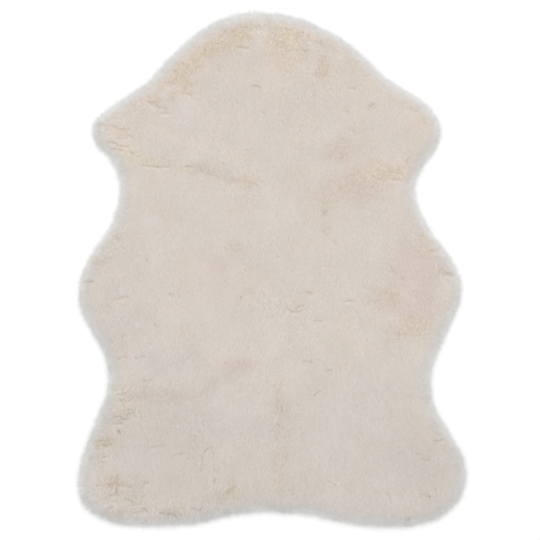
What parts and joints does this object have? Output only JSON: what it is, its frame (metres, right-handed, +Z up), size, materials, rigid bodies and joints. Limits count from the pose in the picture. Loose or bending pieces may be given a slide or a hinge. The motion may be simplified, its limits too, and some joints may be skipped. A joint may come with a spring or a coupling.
{
  "type": "faux fur rug",
  "caption": "Hide-shaped faux fur rug with a gently scalloped outline, a dense soft cream pile and a flat back that lies on the floor.",
  "frame": {"origin": "on the floor, under the middle of the rug's length and width", "axes": "+Y along the length towards the narrow rounded head end, +Z up through the pile, +X to the right seen from above"},
  "size_m": [0.605, 0.796, 0.018],
  "materials": {
    "faux_fur": "soft matt brushed pile, warm cream with tan shading"
  },
  "bodies": {
    "root": {"pelt": "faux_fur"}
  },
  "joints": []
}
